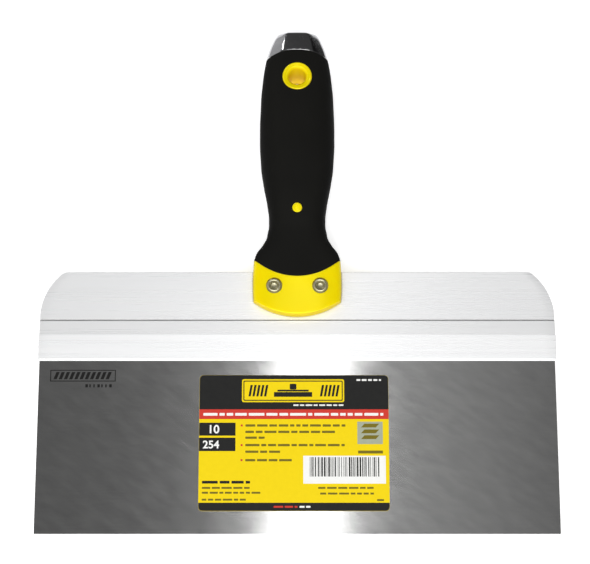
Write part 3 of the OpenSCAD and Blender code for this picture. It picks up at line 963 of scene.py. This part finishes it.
def spine_end_x(rise):
    """Distance from the middle to the spine's end, at a height above its lip."""
    below_top = spine_high.y - spine_low.y - rise
    end = straight([(RIDGE_RISE - END_STEP, spine_high.x), (RIDGE_RISE, blade_half_w + FLANGE_OVER)], rise)
    if below_top < CORNER_H:
        end -= sag(CORNER_R, CORNER_H - below_top)
    if below_top < CORNER_SOFT:
        end -= CORNER_PULL * sag(CORNER_SOFT, CORNER_SOFT - below_top)
    return end


def spine_rises(slot_half, slot_top):
    """Heights above the lip for the section's points, closer where it turns."""
    total = spine_high.y - spine_low.y
    start = LIP_HALF - math.sqrt(LIP_HALF ** 2 - slot_half ** 2)
    rises = [start + (LIP_HALF - start) * (i / 8) ** 2 for i in range(8)]
    rises += spread(LIP_HALF, RIDGE_RISE - 0.5, 22)
    rises += [RIDGE_RISE + d for d in (-0.3, -0.15, 0.0, 0.15, 0.4)]
    rises += spread(RIDGE_RISE + 1.0, slot_top, 6) + spread(slot_top + 0.3, STEP_RISE - 0.4, 5)
    rises += [STEP_RISE + d for d in (-0.15, -0.05, 0.0, 0.06, 0.15, 0.24)]
    rises += spread(STEP_RISE + GROOVE_RUN, STEP_RISE + GROOVE_END, 6)
    rises += spread(STEP_RISE + 1.4, total - 1.2, 34)
    return rises + [total - inset * CORNER_SOFT for _, inset in quarter_round(1.0, 10)]


def spine_end_faces(first, count, slot_count):
    """Faces that close one end of the extrusion, whose section starts at the vertex numbered first."""
    vertices = list(range(first, first + 2 * (count + slot_count)))
    front, back = vertices[:count], vertices[count:2 * count][::-1]
    slot_back, slot_front = vertices[2 * count:][:slot_count], vertices[2 * count:][slot_count:][::-1]
    faces = []
    for i in range(count - 1):
        across = (front[i], front[i + 1], back[i + 1], back[i])
        if i < slot_count - 1:
            faces.append((front[i], front[i + 1], slot_front[i + 1], slot_front[i]))
            faces.append((back[i], back[i + 1], slot_back[i + 1], slot_back[i]))
        elif i == slot_count - 1:
            faces.append((*across, slot_back[i], slot_front[i]))
        else:
            faces.append(across)
    return faces


def build_spine():
    """The extrusion: its profile at every height, run from end to end, with softened end edges."""
    slot_half = blade_half_t + SLOT_GAP
    slot_top = blade_high.y - spine_low.y + SLOT_SPARE
    rises = spine_rises(slot_half, slot_top)
    slot_rises = [r for r in rises if r <= slot_top]

    def row(share, advance, heights, half_t_at):
        """Points up the front and down the back, at a share of the shortened half length."""
        front = [((spine_end_x(r) - advance) * share, spine_low.y + r, half_t_at(r)) for r in heights]
        return front + [(x, y, -z) for x, y, z in reversed(front)]

    def section(share, advance, inset):
        """The outside, then round the slot, whose points run up the back and down the front."""
        outside = row(share, advance, rises,
                      lambda r: max(spine_half_thickness(r) - inset, slot_half + SLOT_WALL))
        return outside + row(share, advance, slot_rises, lambda r: -slot_half)

    rounds = quarter_round(SPINE_EDGE, 4)
    loops = [section(-1, advance, inset) for advance, inset in rounds]
    loops += [section(share, SPINE_EDGE, 0.0) for share in spread(-0.96, 0.96, 25)]
    loops += [section(1, advance, inset) for advance, inset in reversed(rounds)]
    faces = loop_strips(loops)
    for first in (0, (len(loops) - 1) * len(loops[0])):
        faces += spine_end_faces(first, len(rises), len(slot_rises))
    spine = piece_from("spine_extrusion", [p for loop in loops for p in loop], faces, SPINE_SHARP_DEG)
    bore = both_faces([(0, spine_high.z + 1), (SHANK_R, spine_high.z + 1)])
    for place in rivet_places.values():
        combine(spine, lathe("bore", bore, place, 64), sharp_deg=SPINE_SHARP_DEG)
    finish_piece(spine, "spine", spine_aluminium())


# ---- handle

def build_core(height):
    """Yellow moulding: bolster, stem, the ring around the hang hole and the dots at the waist."""
    rings = [ring(bolster_side_h + advance, inset) for advance, inset in quarter_round(BOLSTER_EDGE_R, 6)]
    rings += [ring(h) for h in spread(bolster_side_h + 1.9, flare_h - 0.35, 34)]
    rings += [ring(flare_h - 0.12, 0.04), ring(flare_h, 0.2), ring(flare_h, core_inset)]
    rings += [ring(h, core_inset) for h in spread(flare_h + 1.2, core_top_h, 60)]
    core = ring_piece("core_moulding", rings)

    # Profiles above the grip's surface, from the hole outwards and from the dot's middle outwards
    ring_profile = both_faces([
        (HOLE_R, -1.25), (HOLE_R + 0.08, -1.08), (HOLE_R + 0.85, -0.26), (HOLE_R + 1.0, -0.16),
        (HOLE_R + 1.2, -0.1), (RING_R - 1.2, -0.07), (RING_R - 0.95, 0.06), (RING_R - 0.6, 0.15),
        (RING_R - 0.25, 0.1), (RING_R - 0.06, -0.06), (RING_R, -0.35),
    ])
    dot_profile = both_faces([
        (0, 0.02), (DOT_R - 0.8, 0.0), (DOT_R - 0.3, -0.03), (DOT_R - 0.1, -0.1), (DOT_R, -0.22),
    ])
    combine(core, lathe("room", both_faces([(0, swell_t), (RING_R - 1.5, swell_t)]), (0.0, hole_y)))
    combine(core, lathe("rim", ring_profile, (0.0, hole_y), 128, height), "UNION")
    combine(core, lathe("dot", dot_profile, (0.0, handle_y + dot_h), 64, height), "UNION")

    low_y, high_y = handle_y - 5, spine_high.y + 0.05
    corners = [(-bolster_w, low_y), (bolster_w, low_y), (bolster_w, high_y), (-bolster_w, high_y)]
    slot = [(x, y, z) for z in (-FLANGE_HALF, FLANGE_HALF) for x, y in corners]
    slot_faces = loop_strips([corners] * 2) + [(3, 2, 1, 0), (4, 5, 6, 7)]
    combine(core, piece_from("slot", slot, slot_faces))
    seat = washer_low.z
    spot_profile = both_faces([(0, bolster_t), (SPOT_R, bolster_t), (SPOT_R, seat), (SHANK_R, seat)])
    for place in rivet_places.values():
        combine(core, lathe("spot", spot_profile, place))
    finish_piece(core, "handle_core", core_plastic())


def build_grip():
    """Black rubber skin with a rounded lower and upper edge and its two windows."""
    heights = spread(flare_h + 0.9, waist_h, 26) + spread(waist_h + 1.2, swell_h, 34)
    heights += spread(swell_h + 1.4, lift_start_h, 18) + spread(lift_start_h + 0.8, cap_side_h - 0.5, 20)
    outer = [ring(flare_h + 0.02, GRIP_LIP), ring(flare_h + 0.1, GRIP_LIP * 0.3), ring(flare_h + 0.35)]
    outer += [ring(h, 0.0, SEAM_RIDGE) for h in heights]
    outer += [ring(cap_side_h - 0.2, 0.03), ring(cap_side_h - 0.05, 0.12), ring(cap_side_h, 0.3)]
    inner = [ring(h, grip_wall) for h in [cap_side_h] + heights[::-2] + [flare_h + 0.02]]
    grip = ring_piece("grip_moulding", outer + inner, shell=True)
    height = surface_height(grip)
    soft = WINDOW_SOFT
    for radius, centre_y in ((RING_R + RING_GAP, hole_y), (DOT_R + DOT_GAP, handle_y + dot_h)):
        profile = both_faces([
            (0, 3.0), (radius + 2 * soft, 3.0), (radius + 2 * soft, 0.6), (radius + 1.3 * soft, 0.1),
            (radius + 0.6 * soft, -0.25 * soft), (radius + 0.2 * soft, -0.6 * soft), (radius, -1.3 * soft),
        ])
        combine(grip, lathe("window", profile, (0.0, centre_y), 128, height))
    finish_piece(grip, "grip", grip_rubber())
    return height


def build_cap():
    """Plated butt with a rounded lip above the grip and a rounded edge round the hammer face."""
    rings = [ring(core_top_h, core_inset), ring(cap_side_h, core_inset)]
    faceted = [(cap_side_h + rise, inset) for rise, inset in ((0.02, 0.55), (0.08, 0.25), (0.2, 0.1))]
    faceted += [(h, 0.0) for h in spread(cap_side_h + 0.9, handle_l - 2.2, 26)]
    faceted += [(handle_l - advance, inset) for advance, inset in reversed(quarter_round(BUTT_EDGE_R, 10))]
    rings += [ring(h, inset, faceted=True) for h, inset in faceted]
    cap = ring_piece("cap_casting", rings, sharp_deg=CAP_SHARP_DEG)
    finish_piece(cap, "hammer_cap", cap_chrome())


# ---- rivets and washers

def washer_profile():
    washer_r = (washer_high.x - washer_low.x) / 2
    seat, top, soft = washer_low.z, washer_high.z, WASHER_SOFT
    return [
        (SHANK_R, seat), (washer_r - soft, seat), (washer_r, seat + soft),
        (washer_r, top - 2 * soft), (washer_r - 0.3 * soft, top - 0.8 * soft),
        (washer_r - 1.2 * soft, top), (SHANK_R, top),
    ]


def rivet_profile():
    """From the domed head at the back, up the shank and over the roll, down into the tube's hole."""
    back, top = rivet_low.z, washer_high.z
    head_h = -washer_low.z - back
    dome_r = (HEAD_R ** 2 + head_h ** 2) / (2 * head_h)
    roll_r = (rivet_high.z - top) / 2
    roll_x, roll_z = SHANK_R + roll_r / 2, top + roll_r
    hole_r = SHANK_R - roll_r
    floor_z = rivet_high.z - TUBE_DEPTH
    head = [(0, back)] + [(x, back + sag(dome_r, x)) for x in spread(0.3, HEAD_R - 0.15, 12)]
    head += [(HEAD_R, back + head_h - 0.12), (HEAD_R - 0.05, back + head_h)]
    shank = [(SHANK_R, back + head_h), (SHANK_R, top)]
    angles = [math.radians(a) for a in spread(-80, 180, 15)]
    roll = [(roll_x + roll_r * math.cos(a), roll_z + roll_r * math.sin(a)) for a in angles]
    tube = [(hole_r + 0.12, top + 0.5 * roll_r), (hole_r, top), (hole_r, floor_z + 0.35),
            (hole_r - 0.1, floor_z + 0.12), (hole_r - 0.35, floor_z), (0, floor_z - 0.1)]
    return head + shank + roll + tube


def build_rivets():
    """Washers and semi-tubular rivets, rolled over at the front and domed at the back."""
    for side, place in rivet_places.items():
        washer = lathe("washer_" + side + "_disc", washer_profile(), place)
        finish_piece(washer, "washer_" + side, ZINC)
        rivet = lathe("rivet_" + side + "_steel", rivet_profile(), place)
        finish_piece(rivet, "rivet_" + side, ZINC)


# ---- label

# Millimetres from the label's upper left corner, x to the right and y downwards
label_w, label_h = label_high.x - label_low.x, label_high.y - label_low.y
LABEL_CORNER, LABEL_INSET, LABEL_EDGE = 2.0, 0.06, 0.05
HEADER_LOW, BAND_LOW, STRIP_HIGH = 17.3, 22.2, 63.7
DIGIT_LIFT = 0.012
LABEL_SEED = 7


def label_sheet():
    """The yellow film, with its front edge softened."""
    low, high = label_low, label_high
    outline = rounded_outline(low.x, low.y, high.x, high.y, [LABEL_CORNER] * 4)
    count = len(outline)
    middle_x, middle_y = (low.x + high.x) / 2, (low.y + high.y) / 2
    verts = []
    for z, inset in ((low.z, 0.0), (high.z - LABEL_EDGE, 0.0), (high.z, LABEL_EDGE)):
        for x, y in outline:
            verts.append((x - math.copysign(inset, x - middle_x), y - math.copysign(inset, y - middle_y), z))
    lids = [list(reversed(range(count))), list(range(2 * count, 3 * count))]
    return piece_from("label_sheet", verts, loop_strips([outline] * 3) + lids, material=INK["yellow"])


def print_header(p, words):
    """Dark header and foot strip, red band, and a plain knife pictogram between stripes."""
    corner, inset, right = LABEL_CORNER, LABEL_INSET, label_w - LABEL_INSET
    p.panel("black", inset, inset, right, HEADER_LOW, [0, 0, corner, corner])
    p.bar("red", inset, HEADER_LOW, right, BAND_LOW)
    p.panel("black", inset, STRIP_HIGH, right, label_h - inset, [corner, corner, 0, 0])
    p.bar("yellow", 20.8, 2.1, 70.9, 13.7, 2, 1.0)
    p.bar("black", 21.5, 2.8, 70.2, 13.0, 3, 0.6)
    p.bar("yellow", 22.0, 3.3, 69.7, 12.5, 4, 0.4)
    p.bar("black", 36.5, 8.6, 55.2, 11.0, 5, 0.1)
    p.bar("black", 38.2, 7.4, 53.5, 8.3, 5, 0.1)
    p.bar("black", 44.2, 4.4, 47.5, 7.3, 5, 0.5)
    for i in range(5):
        for x in (24.0, 59.0):
            p.slant("black", x + 1.9 * i, 1.1, 1.0, 10.8, 5.0, 5)
    words("white", 46.0, 70.5, 15.2, 0.75, 4.0)
    words("white", 77.0, 89.0, 2.5, 0.9, 3.0)
    words("white", 2.0, 90.0, 19.8, 1.35, 8.0)


def print_text(p, words):
    """Size boxes, bullets, and lines of dashes on the yellow field."""
    p.bar("black", LABEL_INSET, 24.0, 17.8, 30.5)
    p.bar("black", LABEL_INSET, 31.5, 17.8, 38.2)
    for y in (25.4, 35.2, 42.7):
        p.bar("red", 20.3, y - 0.5, 21.3, y + 0.5, 1, 0.2)
    for y, end in ((25.4, 71.4), (28.6, 66.6), (31.5, 32.0), (35.2, 71.0), (38.5, 41.0), (42.7, 46.5)):
        words("olive", 22.6, end, y, 1.15)
    words("black", 1.7, 25.0, 53.6, 1.35, 8.0)
    for y, start, end in ((56.4, 1.7, 26.0), (58.8, 1.7, 30.0), (62.2, 1.7, 23.0),
                          (56.4, 58.0, 85.0), (59.2, 59.0, 85.0), (62.4, 86.5, 90.0)):
        words("olive", start, end, y, 0.95, 5.0)


def print_pictogram(p):
    """A plain grey square with a stack of boards, and a bar under it."""
    p.bar("grey", 77.2, 23.5, 89.6, 34.7, 1, 0.3)
    for i in range(3):
        foot = 32.2 - 2.9 * i
        p.slant("olive", 79.0, 7.2, 1.7, foot, foot - 1.9, 2)
    p.bar("olive", 77.5, 37.9, 89.6, 39.4, 1, 0.2)


def print_bars(p, draw):
    """Bars of random width in a white box."""
    p.bar("white", 50.8, 40.5, 90.9, 54.3)
    x = 54.0
    while x < 87.6:
        thick = draw.choice((0.3, 0.3, 0.55, 0.8))
        p.bar("black", x, 41.2, x + thick, 50.8, 2)
        x += thick + draw.choice((0.35, 0.5, 0.8))


def build_label():
    """Printed label, with dashes for words and the blade's size as its only figures."""
    draw = random.Random(LABEL_SEED)
    p = Print(label_high.z, (label_low.x, label_high.y), -1)

    def words(ink, x, end, y, height, longest=7.0):
        """A line of print that stays unreadable: plain dashes as long as words."""
        while x < end - 0.8:
            length = min(draw.uniform(1.8, longest), end - x)
            p.bar(ink, x, y - height / 2, x + length, y + height / 2, 2, 0.2 * height)
            x += length + 0.45 * height + 0.35

    sheet = label_sheet()
    print_header(p, words)
    print_text(p, words)
    print_pictogram(p)
    print_bars(p, draw)
    words("red", 36.5, 48.0, 65.7, 0.9, 5.0)
    words("white", 49.0, 55.5, 65.7, 0.9, 3.5)
    parts = [sheet] + p.objects(INK)
    for text, x, y, height in (("10", 5.2, 29.4, 4.3), ("254", 1.9, 36.9, 4.0)):
        parts.append(digits(text, *p.at(x, y), height, label_high.z + DIGIT_LIFT, DIGIT_LIFT, INK["white"]))
    finish_piece(joined("label_print", parts), "label")


# ---- the scene

bpy.context.scene.view_settings.view_transform = "Standard"
make_camera()
make_floor()
make_world()
make_lights()

build_blade()
build_spine()
build_label()
grip_height = build_grip()
build_core(grip_height)
build_cap()
build_rivets()

# The tang and the cap's pin keep their CAD shapes
for node, material in (("tang", rolled_steel()), ("cap_pin", ZINC)):
    carried = frame["nodes"][node]
    carried.data.materials.clear()
    carried.data.materials.append(material)
